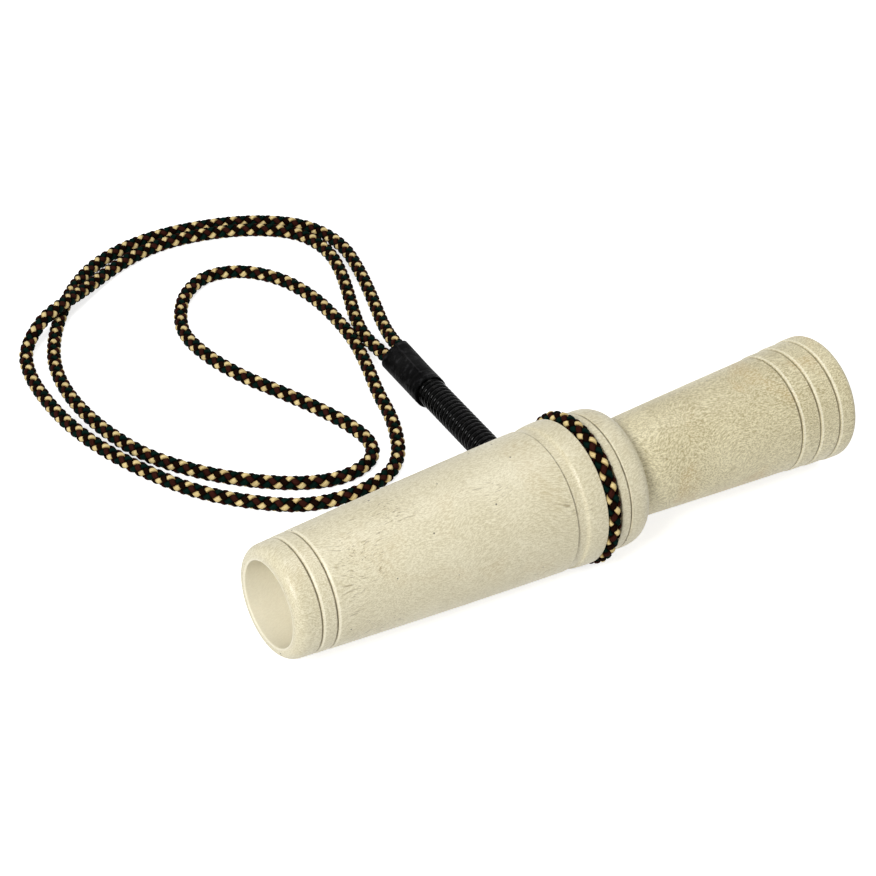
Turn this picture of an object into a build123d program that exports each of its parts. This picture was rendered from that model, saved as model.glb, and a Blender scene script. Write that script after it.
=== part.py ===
from build123d import *
import math
import os

# A tube-shaped bird call that lies along X, with its mouth at -X and its exhaust at +X.
# It rests on its collar at Z = 0, and its lanyard lies on the same surface behind it, at +Y.
# All sizes are in millimetres. A station is a distance along the call from the mouth's rim.

# Call
call_length = 152.0
barrel_length = 91.0
half_length = call_length / 2

# Barrel, outside
mouth_radius = 13.15
lip_round = 2.6
lip_edge_round = 0.4
taper_middle_radius = 15.1
taper_end_radius = 16.6
collar_radius = 17.2
collar_foot_station = 70.2
foot_line_width = 0.5
foot_line_depth = 0.4
collar_start_station = 73.2
band_radius = 16.4
band_shoulder_length = 5.5
band_face_radius = 13.9
mouth_line_stations = [5.7, 9.4]
band_line_station = 84.9
line_cut_radius = 0.4

# Barrel, inside
mouth_bore_radius = 10.0
mouth_bore_length = 20.0
socket_radius = 10.3

# Insert
fit_clearance = 0.05
tenon_radius = socket_radius - fit_clearance
tenon_length = 26.0
shoulder_radius = 11.6
flare_middle_radius = 12.9
flare_end_radius = 14.05
ring_step = 0.25
ring_rise = 0.1
exhaust_round = 1.7
exhaust_bore_radius = 6.35
exhaust_chamfer = 0.8
flare_line_stations = [136.1, 141.3, 146.8]

# Seals on the tenon
seal_section_radius = 0.89
seal_ring_radius = socket_radius - fit_clearance - seal_section_radius
seal_groove_radius = seal_ring_radius - seal_section_radius - fit_clearance
seal_groove_width = 2 * seal_section_radius + 0.6
seal_inset = 6.0

# Tone board, reed and wedge
board_socket_radius = 6.7
board_radius = board_socket_radius - fit_clearance
board_reach = 66.0
board_tip_station = barrel_length - board_reach
board_plug_inset = 18.0
board_plug_station = barrel_length - board_plug_inset
board_plug_length = 6.0
face_height = 0.8
face_drop_angle = 2.2
channel_radius = 3.2
channel_inset = 7.0
channel_start_station = board_tip_station + channel_inset
reed_thickness = 0.36
reed_width = 11.4
reed_tip_inset = 1.0
reed_tip_station = board_tip_station + reed_tip_inset
reed_clamp_length = 14.0
reed_hinge_station = board_plug_station - reed_clamp_length
reed_hinge_gap = 0.2
wedge_inset = 0.5

# Cord, and its groove in the barrel
cord_diameter = 3.2
cord_lift = 0.05
strand_gap = 0.3
groove_station = 80.3
groove_clearance = 0.3
groove_side_clearance = 0.5
groove_width = cord_diameter + 2 * groove_side_clearance
groove_radius = collar_radius - cord_diameter - groove_clearance
loop_rise = 0.9
loop_radius = collar_radius + loop_rise / 2 - cord_diameter / 2
loop_center_height = collar_radius + loop_rise / 2
loop_lower_corner = 17.0
loop_upper_corner = 19.5
arc_share = 0.45

# Keeper: a spring and a sleeve that slide along the two strands
keeper_root = Vector(groove_station - half_length + 0.3, 27.0, 7.4)
keeper_mouth = Vector(14.25, 89.6, 3.6)
strand_diameter = 2.0
strand_offset = 1.2
strand_end = 52.0
strand_twist = 48.0
joint_gap = 0.3
spring_wire = 1.0
spring_outer_radius = 3.5
spring_pitch = 1.77
spring_turns = 25
spring_start = 1.0
sleeve_length = 22.8
sleeve_grip = 6.0
sleeve_wall = 0.4
sleeve_spring_clearance = 0.25
sleeve_mouth_height = 4.8
slot_step = 0.1

# Neck cord: the points of its route on the surface, from the keeper's left exit to its right exit.
# A third value lifts a point off the surface, near the exits and where the cord crosses itself.
exit_run = 1.5
hump_height = 8.0
route_points = [
    (14.2, 103.5), (17.6, 113.6), (22.1, 124.0), (26.9, 135.5), (29.7, 146.9), (27.2, 158.2),
    (19.2, 167.7), (7.0, 174.0), (-7.3, 174.9), (-21.1, 170.1), (-33.1, 163.4),
    (-43.7, 155.4, hump_height), (-53.2, 151.3, hump_height), (-61.5, 145.4), (-65.7, 134.2),
    (-67.6, 122.0), (-68.1, 108.6), (-66.5, 95.2), (-63.0, 81.8), (-57.3, 67.1), (-48.3, 55.4),
    (-38.1, 46.6), (-25.8, 44.5), (-14.9, 46.9), (-8.8, 52.3), (-4.8, 59.0), (-0.7, 68.0),
    (2.4, 79.0), (7.0, 91.1), (11.1, 103.9), (13.1, 116.6), (13.8, 128.6), (11.6, 141.2),
    (4.8, 150.6), (-4.6, 153.1), (-13.3, 148.0), (-19.1, 140.5), (-23.8, 130.8), (-24.3, 118.6),
    (-21.8, 104.8), (-16.4, 90.4), (-12.1, 76.4), (-10.4, 65.1), (-12.1, 57.9), (-16.6, 53.7),
    (-24.8, 51.9), (-34.3, 55.3), (-43.5, 62.9), (-51.9, 72.9), (-59.2, 86.2), (-62.3, 102.6),
    (-62.2, 118.9), (-59.0, 133.7), (-52.9, 145.9), (-46.1, 156.5), (-37.7, 166.9), (-25.5, 175.3),
    (-10.4, 179.2), (5.5, 177.8), (21.0, 172.3), (32.9, 162.2), (35.1, 147.5), (31.3, 132.9),
    (26.0, 118.5), (20.7, 105.0, 2.0),
]


def along(station):
    """X of a station."""
    return station - half_length


def on_axis(solid):
    """Lift a solid that was made about the X axis up to the call's own axis."""
    return Pos(0, 0, collar_radius) * solid


def rod(start_station, end_station, radius):
    length = end_station - start_station
    return Pos(along(start_station) + length / 2, 0, 0) * Rot(0, 90, 0) * Cylinder(radius, length)


def ring(station, ring_radius, section_radius):
    return Pos(along(station), 0, 0) * Rot(0, 90, 0) * Torus(ring_radius, section_radius)


def plate(start_station, end_station, width, bottom, top):
    size = (end_station - start_station, width, top - bottom)
    return Pos(along(start_station), 0, bottom) * Box(*size, align=(Align.MIN, Align.CENTER, Align.MIN))


def quarter_round(start, end, center):
    """Arc from start to end about a center, both (x, radius) points of a profile."""
    radius = math.dist(start, center)
    outward = ((Vector(*start) + Vector(*end)) / 2 - Vector(*center)).normalized()
    return ThreePointArc(start, Vector(*center) + outward * radius, end)


def line_cut(station, radius):
    """Fine turned line round the outside, where the surface has this radius."""
    return ring(station, radius, line_cut_radius)


def taper_radius(station):
    """Radius of the barrel's tapered part, taken along two straight runs."""
    middle = collar_foot_station / 2
    if station < middle:
        return mouth_radius + (taper_middle_radius - mouth_radius) * station / middle
    return taper_middle_radius + (taper_end_radius - taper_middle_radius) * (station - middle) / middle


def ring_radii(index):
    """Radii at the foot and at the edge of the step up to one of the rings at the insert's end."""
    foot = flare_end_radius + index * (ring_step + ring_rise)
    return foot, foot + ring_step


def make_barrel():
    groove_start = along(groove_station - groove_width / 2)
    groove_end = along(groove_station + groove_width / 2)
    end = along(barrel_length)
    bore_edge = (along(lip_edge_round), mouth_bore_radius)
    rim_inner = (along(0), mouth_bore_radius + lip_edge_round)
    rim_outer = (along(0), mouth_radius - lip_round)
    lip_end = (along(lip_round), mouth_radius)
    foot = (along(collar_foot_station), taper_end_radius)
    cove_start = (along(collar_foot_station + foot_line_width), taper_end_radius - foot_line_depth)
    cove_end = (along(collar_start_station), collar_radius)
    cove_middle = (cove_start[0] * 0.4 + cove_end[0] * 0.6, cove_start[1] * 0.65 + cove_end[1] * 0.35)
    band_top = (end - band_shoulder_length, band_radius)
    band_face = (end, band_face_radius)
    slant = math.sqrt(0.5)
    band_middle = (band_top[0] + band_shoulder_length * slant,
                   band_face_radius + (band_radius - band_face_radius) * slant)
    with BuildPart() as body:
        with BuildSketch(Plane.XZ):
            with BuildLine():
                quarter_round(bore_edge, rim_inner, (bore_edge[0], rim_inner[1]))
                Line(rim_inner, rim_outer)
                quarter_round(rim_outer, lip_end, (lip_end[0], rim_outer[1]))
                ThreePointArc(lip_end, (along(collar_foot_station / 2), taper_middle_radius), foot)
                Line(foot, cove_start)
                ThreePointArc(cove_start, cove_middle, cove_end)
                Polyline(cove_end, (groove_start, collar_radius), (groove_start, groove_radius),
                         (groove_end, groove_radius), (groove_end, band_radius), band_top)
                ThreePointArc(band_top, band_middle, band_face)
                Polyline(band_face, (end, socket_radius), (along(mouth_bore_length), socket_radius),
                         (along(mouth_bore_length), mouth_bore_radius), bore_edge)
            make_face()
        revolve(axis=Axis.X)
    barrel = body.part
    for station in mouth_line_stations:
        barrel -= line_cut(station, taper_radius(station))
    barrel -= line_cut(band_line_station, band_radius)
    return on_axis(barrel)


def seal_stations():
    tenon_start = barrel_length - tenon_length
    return [tenon_start + seal_inset, barrel_length - seal_inset]


def make_insert():
    tenon_start = along(barrel_length - tenon_length)
    shoulder = along(barrel_length)
    end = along(call_length)
    flare_start = (shoulder, shoulder_radius)
    flare_end = (along(flare_line_stations[0]), flare_end_radius)
    flare_middle = ((flare_start[0] + flare_end[0]) / 2, flare_middle_radius)
    rings = []
    for index, station in enumerate(flare_line_stations):
        rings += [(along(station), radius) for radius in ring_radii(index)]
    ring_end = (end - exhaust_round, rings[-1][1] + ring_rise)
    end_face = (end, ring_end[1] - exhaust_round)
    socket_end = along(board_plug_station + board_plug_length)
    socket_edge = (tenon_start, board_socket_radius)
    with BuildPart() as body:
        with BuildSketch(Plane.XZ):
            with BuildLine():
                Polyline(socket_edge, (tenon_start, tenon_radius), (shoulder, tenon_radius), flare_start)
                ThreePointArc(flare_start, flare_middle, flare_end)
                Polyline(*rings, ring_end)
                quarter_round(ring_end, end_face, (ring_end[0], end_face[1]))
                Polyline(end_face, (end, exhaust_bore_radius + exhaust_chamfer),
                         (end - exhaust_chamfer, exhaust_bore_radius), (socket_end, exhaust_bore_radius),
                         (socket_end, board_socket_radius), socket_edge)
            make_face()
        revolve(axis=Axis.X)
    insert = body.part
    for station in seal_stations():
        half_width = seal_groove_width / 2
        blank = rod(station - half_width, station + half_width, tenon_radius + fit_clearance)
        insert -= blank - rod(station - half_width, station + half_width, seal_groove_radius)
    for index, station in enumerate(flare_line_stations):
        insert -= line_cut(station - line_cut_radius, ring_radii(index)[0])
    return on_axis(insert)


def make_seal(station):
    return on_axis(ring(station, seal_ring_radius, seal_section_radius))


def make_tone_board():
    plug_end = board_plug_station + board_plug_length
    drop = (reed_hinge_station - board_tip_station) * math.tan(math.radians(face_drop_angle))
    side = Polyline(
        (along(board_tip_station), -2 * board_radius), (along(plug_end), -2 * board_radius),
        (along(plug_end), 2 * board_radius), (along(board_plug_station), 2 * board_radius),
        (along(board_plug_station), face_height), (along(reed_hinge_station), face_height),
        (along(board_tip_station), face_height - drop), close=True)
    slab = extrude(Plane.XZ * make_face(side), 2 * board_radius, both=True)
    channel = Pos(0, 0, face_height) * rod(channel_start_station, plug_end + channel_radius, channel_radius)
    channel += Pos(along(channel_start_station), 0, face_height) * Sphere(channel_radius)
    return on_axis((slab & rod(board_tip_station, plug_end, board_radius)) - channel)


def make_reed():
    end = reed_hinge_station - reed_hinge_gap
    return on_axis(plate(reed_tip_station, end, reed_width, face_height, face_height + reed_thickness))


def make_reed_heel():
    end = board_plug_station - wedge_inset
    return on_axis(plate(reed_hinge_station, end, reed_width, face_height, face_height + reed_thickness))


def make_wedge():
    start = reed_hinge_station + wedge_inset
    end = board_plug_station - wedge_inset
    block = plate(start, end, 2 * board_radius, face_height + reed_thickness, board_radius)
    return on_axis(block & rod(start, end, board_radius))


def cord_tube(path, diameter):
    """Round tube along a path, with its volume set against its section times its length."""
    tube = sweep(Plane(path @ 0, z_dir=path % 0) * Circle(diameter / 2), path=path)
    expected = math.pi * diameter ** 2 / 4 * path.length
    print("tube of length", round(path.length, 1), "volume share", round(tube.volume / expected, 4))
    return tube


def corner_radii(points):
    """Radius at each inner point: as large as its two runs allow."""
    radii = []
    for before, point, after in zip(points, points[1:], points[2:]):
        turn = (point - before).get_angle(after - point)
        shorter_run = min((point - before).length, (after - point).length)
        radii.append(arc_share * shorter_run / math.tan(math.radians(turn / 2)))
    print("corner radii", [round(radius, 1) for radius in radii])
    return radii


def loop_tangent(corner, side):
    """Angle on the loop's circle where a straight strand from the corner touches it."""
    rise = corner[1] - loop_center_height
    distance = math.hypot(corner[0], rise)
    return math.atan2(rise, corner[0]) + side * math.acos(loop_radius / distance)


def loop_point(angle):
    return loop_place(loop_radius * math.cos(angle), loop_center_height + loop_radius * math.sin(angle))


def loop_place(reach, height):
    """Point in the groove's plane."""
    return Vector(along(groove_station), reach, height)


def make_barrel_loop():
    offset = (cord_diameter + strand_gap) / 2
    lower = keeper_root.Z - offset
    upper = keeper_root.Z + offset
    lower_angle = loop_tangent((loop_lower_corner, lower), -1)
    upper_angle = loop_tangent((loop_upper_corner, upper), 1)
    far_angle = (lower_angle + upper_angle) / 2 - math.pi
    lower_points = [loop_place(keeper_root.Y, lower), loop_place(loop_lower_corner, lower), loop_point(lower_angle)]
    upper_points = [loop_point(upper_angle), loop_place(loop_upper_corner, upper), loop_place(keeper_root.Y, upper)]
    wrap = Edge.make_three_point_arc(loop_point(lower_angle), loop_point(far_angle), loop_point(upper_angle))
    lower_run = FilletPolyline(*lower_points, radius=corner_radii(lower_points))
    upper_run = FilletPolyline(*upper_points, radius=corner_radii(upper_points))
    return cord_tube(Wire(lower_run.edges() + [wrap] + upper_run.edges()), cord_diameter)


# The keeper's own frame has its origin at the root, Z along the keeper, X up and Y towards the exhaust.
keeper_frame = Plane(origin=keeper_root, x_dir=(0, 0, 1), z_dir=keeper_mouth - keeper_root)
keeper_length = (keeper_mouth - keeper_root).length
sleeve_start = keeper_length - sleeve_length


def keeper_point(offset, angle, distance):
    """Point at an offset from the keeper's axis, turned by an angle from straight up."""
    turn = math.radians(angle)
    return keeper_frame.from_local_coords(Vector(offset * math.cos(turn), offset * math.sin(turn), distance))


def make_keeper_strands():
    strands = []
    for side in (1, -1):
        start = keeper_point(side * strand_offset, 0, joint_gap)
        end = keeper_point(side * strand_offset, strand_twist, strand_end - joint_gap)
        strands.append(cord_tube(Line(start, end), strand_diameter))
    return Compound(children=strands)


def make_cord_spring():
    radius = spring_outer_radius - spring_wire / 2
    bulge = math.hypot(radius, spring_pitch / 4)
    rise = spring_pitch / 2
    edges = [Edge.make_line((radius, -spring_wire, 0), (radius, 0, 0))]
    for half_turn in range(2 * spring_turns):
        side = 1 if half_turn % 2 == 0 else -1
        height = half_turn * rise
        edges.append(Edge.make_three_point_arc((side * radius, 0, height), (0, side * bulge, height + rise / 2),
                                               (-side * radius, 0, height + rise)))
    top = 2 * spring_turns * rise
    edges.append(Edge.make_line((radius, 0, top), (radius, spring_wire, top)))
    wire = Wire(edges)
    print("spring's least gap to itself", round(spring_gap(wire), 2))
    return keeper_frame * Pos(0, 0, spring_start) * cord_tube(wire, spring_wire)


def spring_gap(wire):
    """Least distance from one turn to the next, measured on points of the path."""
    samples_per_turn = 12
    count = samples_per_turn * spring_turns
    points = [wire.position_at(index / count) for index in range(count + 1)]
    gaps = []
    for index, point in enumerate(points):
        for other in points[index + samples_per_turn // 2:index + 2 * samples_per_turn]:
            gaps.append((point - other).length)
    return min(gaps) - spring_wire


def sleeve_section(distance, width, height):
    slot = Rot(0, 0, strand_twist) * SlotOverall(width, height)
    return Pos(0, 0, distance) * slot


def sleeve_solid(margin):
    """Sleeve's outside at margin 0, or its inside at the wall's thickness."""
    round_size = 2 * (spring_outer_radius + sleeve_spring_clearance + sleeve_wall - margin)
    width = round_size + slot_step
    flat_size = sleeve_mouth_height - 2 * margin
    overrun = sleeve_wall if margin else 0
    return loft([
        sleeve_section(sleeve_start - overrun, width, round_size),
        sleeve_section(sleeve_start + sleeve_grip, width, round_size),
        sleeve_section(keeper_length + overrun, width, flat_size),
    ], ruled=True)


def make_cord_sleeve():
    return keeper_frame * (sleeve_solid(0) - sleeve_solid(sleeve_wall))


def neck_route():
    offset = (cord_diameter + strand_gap) / 2
    height = cord_diameter / 2 + cord_lift
    points = [Vector(*point) if len(point) == 3 else Vector(*point, height) for point in route_points]
    left = [keeper_point(-offset, strand_twist, reach) for reach in (strand_end, keeper_length + exit_run)]
    right = [keeper_point(offset, strand_twist, reach) for reach in (keeper_length + exit_run, strand_end)]
    return left + points + right


def make_neck_cord():
    points = neck_route()
    return cord_tube(FilletPolyline(*points, radius=corner_radii(points)), cord_diameter)


os.makedirs("parts", exist_ok=True)
front_seal, rear_seal = seal_stations()
nodes = {
    "barrel": make_barrel(),
    "insert": make_insert(),
    "o_ring_front": make_seal(front_seal),
    "o_ring_rear": make_seal(rear_seal),
    "tone_board": make_tone_board(),
    "reed": make_reed(),
    "reed_heel": make_reed_heel(),
    "wedge": make_wedge(),
    "barrel_loop": make_barrel_loop(),
    "keeper_strands": make_keeper_strands(),
    "cord_spring": make_cord_spring(),
    "cord_sleeve": make_cord_sleeve(),
    "neck_cord": make_neck_cord(),
}
for name, shape in nodes.items():
    box = shape.bounding_box()
    print(name, "volume", round(shape.volume, 1), "box", box.min, box.max)
    export_step(shape, f"parts/{name}.step")
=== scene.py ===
import math

import bpy
import numpy as np
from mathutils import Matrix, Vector


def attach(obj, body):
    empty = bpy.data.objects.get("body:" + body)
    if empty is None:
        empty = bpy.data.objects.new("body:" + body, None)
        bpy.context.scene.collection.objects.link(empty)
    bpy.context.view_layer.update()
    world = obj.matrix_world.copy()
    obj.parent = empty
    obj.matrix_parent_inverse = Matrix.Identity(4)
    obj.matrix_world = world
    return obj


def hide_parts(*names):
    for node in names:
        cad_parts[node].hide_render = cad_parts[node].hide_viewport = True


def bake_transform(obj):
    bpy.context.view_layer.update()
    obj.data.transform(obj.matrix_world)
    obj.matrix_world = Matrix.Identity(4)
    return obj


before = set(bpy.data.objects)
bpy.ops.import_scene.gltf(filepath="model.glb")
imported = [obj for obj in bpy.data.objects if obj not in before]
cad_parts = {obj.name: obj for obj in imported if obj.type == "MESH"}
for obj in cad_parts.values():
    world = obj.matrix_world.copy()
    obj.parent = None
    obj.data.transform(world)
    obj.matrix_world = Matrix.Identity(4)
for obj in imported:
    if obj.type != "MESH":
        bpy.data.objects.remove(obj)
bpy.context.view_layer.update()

# Sizes are in millimetres, in the frame of the CAD model, and MM turns them into metres.
# Angles are in degrees. A station is a distance along the call from the mouth's rim.
MM = 0.001

# Camera
image_width = 876
focal_pixels = 3000
sensor_width = 36.0
camera_place = (-332.48, -452.11, 399.53)
camera_azimuth = -33.59
camera_elevation = 33.22

# Lamps, in metres and watts
light_target = (0, 0.05, 0.02)
key_place = (-0.95, -0.55, 0.82)
key_size = 0.4
key_power = 13.2
top_place = (0.2, 0.1, 1.15)
top_size = 0.7
top_power = 4.0

# World and floor, whose half side is in metres
white = (1, 1, 1, 1)
ambient_level = 0.25
floor_half = 3.0
floor_glow = 0.76
floor_color = (0.66, 0.66, 0.65, 1)
floor_speck = (0.78, 0.78, 0.77, 1)
floor_grain_scale = 400
floor_roughness = 0.9

# Call
call_length = 152.0
barrel_length = 91.0
axis_height = 17.2
turned_segments = 224
corner_steps = 8
corner_hold = 0.12
inner_edge_round = 0.1

# Barrel
lip_radius = 13.0
lip_face = 2.0
lip_side = 2.8
bore_edge_round = 0.35
taper_stations = (0.0, 35.1, 70.2)
taper_radii = (13.0, 15.1, 16.75)
taper_step = 4.0
taper_first = 13.0
foot_edge_round = 0.12
foot_line_width = 0.4
foot_line_depth = 0.6
cove_start = 0.65
cove_rise = 0.12
cove_corner = (72.7, 16.38)
cove_round = 0.4
collar_edge = (73.25, 16.92)
collar_edge_round = 0.28
collar_full_station = 75.4
collar_full_round = 1.2
collar_radius = 17.2
band_radius = 16.5
band_shoulder_length = 3.9
band_face_radius = 14.4
mouth_bore_radius = 10.0
mouth_bore_length = 20.0
socket_radius = 10.3
socket_edge_round = 0.4
mouth_line_stations = (5.7, 9.4)
mouth_line_step = 0.1
band_line_station = 84.9
groove_start = 78.2
groove_end = 82.4
groove_radius = 13.7
groove_edge_round = 0.35

# Fine turned lines, with a round shoulder on the side of the exhaust
line_width = 0.34
line_depth = 0.7
line_edge_round = 0.06
line_floor_round = 0.05
line_shoulder = (0.5, 1.0)
band_line_shoulder = (0.2, 0.4)

# Insert
tenon_start = 65.0
tenon_radius = 10.25
tenon_edge_round = 0.4
shoulder_round = 0.5
seat_gap = 0.04
flare_stations = (91.0, 113.55, 136.1)
flare_radii = (11.6, 12.9, 14.05)
flare_step = 3.0
ring_stations = (136.1, 141.3, 146.8)
ring_step = 0.25
ring_rise = 0.1
exhaust_round = 1.7
exhaust_bore_radius = 6.35
exhaust_edge_round = 0.8
board_socket_radius = 6.7
board_socket_end = 79.0
seal_stations = (71.0, 85.0)
seal_groove_half_width = 1.19
seal_groove_radius = 8.42

# Cord, measured over the crests of its braid. Its middle lies at cord_height on the surface.
cord_diameter = 3.65
cord_height = 1.83
strand_offset = 1.83
spline_steps = 24
hump_height = 5.5
tail_length = 80.0

# Braid of four yarns each way
yarns_each_way = 4
braid_pitch = 10.7
yarn_width = 1.6
gold_width = 1.42
yarn_thickness = 0.78
yarn_lift = 0.3
yarn_hold = 1.1
yarn_step = 0.33
yarn_sides = 8
yarn_squareness = 0.88
yarn_spacing = 10.0
core_share = 0.58
core_rings = 8
crest_turn = 2 * math.pi * yarns_each_way / braid_pitch

# Loop round the barrel, with angles about its centre from +Y
loop_plane_x = 4.3
loop_tilt = 0.24
loop_radius = 16.05
loop_center_height = 17.8
loop_lower_angle = -74.7
loop_upper_angle = 17.5
loop_lower_corner = 17.0
loop_upper_corner = 19.5
loop_entry = (2.5, -1.5)
loop_wrap_points = 17
loop_slack = 0.9
loop_slack_angle = -140.0
loop_slack_spread = 30.0
loop_fullness = 0.97
loop_braid_turn = -14.0
spline_own_share = 0.75
squeezed_share = 0.537
squeeze_length = 6.0

# Keeper
keeper_root = Vector((4.6, 27.0, 7.4))
keeper_mouth = Vector((14.25, 89.6, 3.6))
strand_end = 52.0
strand_stations = (2.0, 15.0, 30.0, 45.0, strand_end)
strand_twist = 48.0
exit_run = 1.5
squeezed_offset = 1.0
spring_start = 1.0
spring_turns = 25
spring_pitch = 1.77
spring_outer_radius = 3.7
spring_wire = 1.56
spring_shift = 0.12
spring_steps = 30
wire_sides = 12
sleeve_length = 22.0
sleeve_grip = 6.0
sleeve_round_radius = 4.22
sleeve_shift = (-0.1, -0.08)
sleeve_mouth_half_width = 4.35
sleeve_mouth_half_height = 2.5
sleeve_wall = 0.34
sleeve_edge_round = 0.35
sleeve_lip_places = (0.3, 0.08, 0.0, 0.06, 0.18)
sleeve_lip_insets = (0.62, 0.52, 0.28, 0.12, 0.03)
sleeve_mouth_step = 0.03
sleeve_mouth_shares = (0.35, 0.8)
sleeve_inner_margin = 0.3
sleeve_rows = 64
sleeve_sides = 120
sleeve_ripple = 0.03
ripple_fade = 1.5
rim_wave = 0.22
rim_wave_start = 15.0
rim_wave_turn = 0.6
crease_angle = -17.0
crease_width = 3.4
crease_height = 0.36
crease_start = 1.0
crease_run = 5.0

# Route of the neck cord on the surface, from the keeper's left exit to its right exit.
# A third value is the height of the cord's middle where it isn't flat on the surface.
route_points = [
    (13.8, 103.2), (17.2, 113.3), (22.0, 123.8), (26.8, 135.3), (29.9, 146.7), (28.4, 158.6),
    (19.3, 167.4), (6.9, 172.6), (-7.4, 174.4), (-21.5, 170.4), (-34.5, 162.8, 2.7),
    (-44.0, 155.5, hump_height), (-53.3, 151.1, hump_height), (-61.6, 145.2), (-65.8, 134.0),
    (-67.7, 121.8), (-68.2, 108.4), (-66.6, 95.0), (-63.1, 81.6), (-57.4, 66.9), (-48.4, 55.2),
    (-38.2, 46.4), (-25.9, 44.3), (-15.0, 46.7), (-8.9, 52.1), (-4.9, 58.8), (-0.8, 67.8),
    (2.3, 78.8), (6.9, 90.9), (11.0, 103.7), (13.0, 116.4), (13.7, 128.4), (11.5, 141.0),
    (4.7, 150.4), (-4.7, 152.9), (-13.4, 147.8), (-19.2, 140.3), (-23.9, 130.6), (-24.4, 118.4),
    (-21.9, 104.6), (-16.5, 90.2), (-12.2, 76.2), (-10.5, 64.9), (-12.2, 57.7), (-16.7, 53.5),
    (-24.9, 51.7), (-34.4, 55.1), (-43.6, 62.7), (-52.0, 72.7), (-59.3, 86.0), (-62.4, 102.4),
    (-62.3, 118.7), (-59.1, 133.5), (-53.0, 145.7), (-45.6, 155.9), (-37.6, 165.6), (-25.9, 174.6),
    (-10.5, 179.0), (5.4, 177.6), (20.9, 172.1), (32.3, 161.9), (34.9, 147.5), (31.1, 132.9),
    (26.0, 118.4), (20.6, 104.8, 2.0),
]


# Looks. A scale is how many features a pattern has in a metre, and for filaments in a millimetre. A reach
# is the pair of values between which a pattern fades in or out. A bump is a height in metres and a strength.
# far_away is a distance in metres that is past every station.
noise_middle = (0.5, 0.5, 0.5)
middle_reach = (0.3, 0.7)
whole_reach = (0.0, 1.0)
far_away = 1.0

# Places of the colour sockets on a Mix node
mix_first_color = 6
mix_second_color = 7
mix_color_result = 2

# Resin of the two tubes and the tone board. A flow is how far its swirls are pushed about, in metres.
barrel_light = (0.88, 0.825, 0.63, 1)
barrel_dark = (0.53, 0.465, 0.285, 1)
barrel_flow = 0.011
barrel_hair_share = 0.65
barrel_stain_share = 0.14
insert_light = (0.94, 0.87, 0.61, 1)
insert_dark = (0.34, 0.275, 0.125, 1)
insert_flow = 0.014
insert_hair_share = 0.3
insert_stain_share = 0.42
board_flow = 0.007
board_hair_share = 0.3
board_stain_share = 0.2
resin_roughness = (0.46, 0.36)
resin_bump = (0.0001, 0.16)

# Grain, swirls and clouds in the resin, with their shares in its tone and relief
flow_scale = 55
cloud_scale = 45
cloud_detail = 3
cloud_tone = 0.2
grain_scale = 4200
grain_reach = (0.28, 0.72)
grain_tone = 0.4
grain_relief = 0.4
swirl_stretch = (0.26, 1, 1)
swirl_scale = 4000
swirl_reach = (0.36, 0.64)
swirl_tone = 0.4
swirl_relief = 0.4

# Dark hairs in the resin, which start past the mouth's lines
hair_color = (0.28, 0.22, 0.12, 1)
hair_stretch = (0.05, 1, 1)
hair_scale = 2900
hair_reach = (0.6, 0.69)
hair_relief = 0.5
hair_start = (10.0, 13.0)
hair_patch_scale = 75
hair_patch_reach = (0.58, 0.69)
mouth_hair_reach = (13.0, 40.0)
mouth_hair_gain = 0.15

# Stains and pits in the resin
stain_color = (0.55, 0.38, 0.15, 1)
stain_scale = 60
stain_detail = 3
stain_reach = (0.52, 0.64)
stain_swirl_reach = (0.1, 0.9)
stain_on_swirls = 0.2
pit_color = (0.09, 0.07, 0.05, 1)
pit_scale = 230
pit_edge = (0.03, 0.06)
pit_choice = (0.42, 0.46)

# Painted light in the bore, which makes it paler, painted highlights on the shoulders of the turned lines
# outside, and dirt with painted shade in those lines. A piece that has no bore has no_bore, a radius that no
# place has.
painted_bore_light_color = (0.93, 0.875, 0.7, 1)
painted_bore_light_share = 0.75
painted_bore_light_reach = (0.1, 0.7)
no_bore = -1.0
outside_reach = (10.6, 11.2)
painted_highlight_color = (0.97, 0.92, 0.74, 1)
painted_highlight_share = 0.45
painted_highlight_after = 0.55
painted_highlight_reach = (0.1, 0.3)
dirt_and_shade_color = (0.15, 0.11, 0.055, 1)
dirt_and_shade_shares = (0.35, 0.72)
dirt_and_shade_before = 0.1
dirt_and_shade_reach = (0.17, 0.36)
dirt_and_shade_patch_scale = 420
dirt_and_shade_patch_reach = (0.35, 0.65)

# Yarns, each with a darker colour for the random tone of its filaments and patches, and for painted shade at
# its edges and dips
gold_shade = (0.22, 0.12, 0.02, 1)
gold_light = (1.0, 0.82, 0.41, 1)
green_shade = (0.001, 0.0015, 0.001, 1)
green_light = (0.003, 0.018, 0.0135, 1)
maroon_shade = (0.004, 0.001, 0.0005, 1)
maroon_light = (0.05, 0.013, 0.009, 1)
black_shade = (0.001, 0.0005, 0.0005, 1)
black_light = (0.013, 0.0045, 0.0025, 1)
filament_stretch = (0.35, 6.0, 1)
filament_scale = 1.6
filament_share = 0.5
yarn_patch_scale = 260
yarn_patch_share = 0.75
yarn_edge = (0.3, 0.8)
yarn_edge_painted_shade = 0.15
crest_reach = (-0.4, 0.5)
yarn_dip_painted_shade = 0.35
yarn_roughness = (0.66, 0.5)
yarn_gloss = 0.006
yarn_bump = (0.00006, 0.6)

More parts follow.
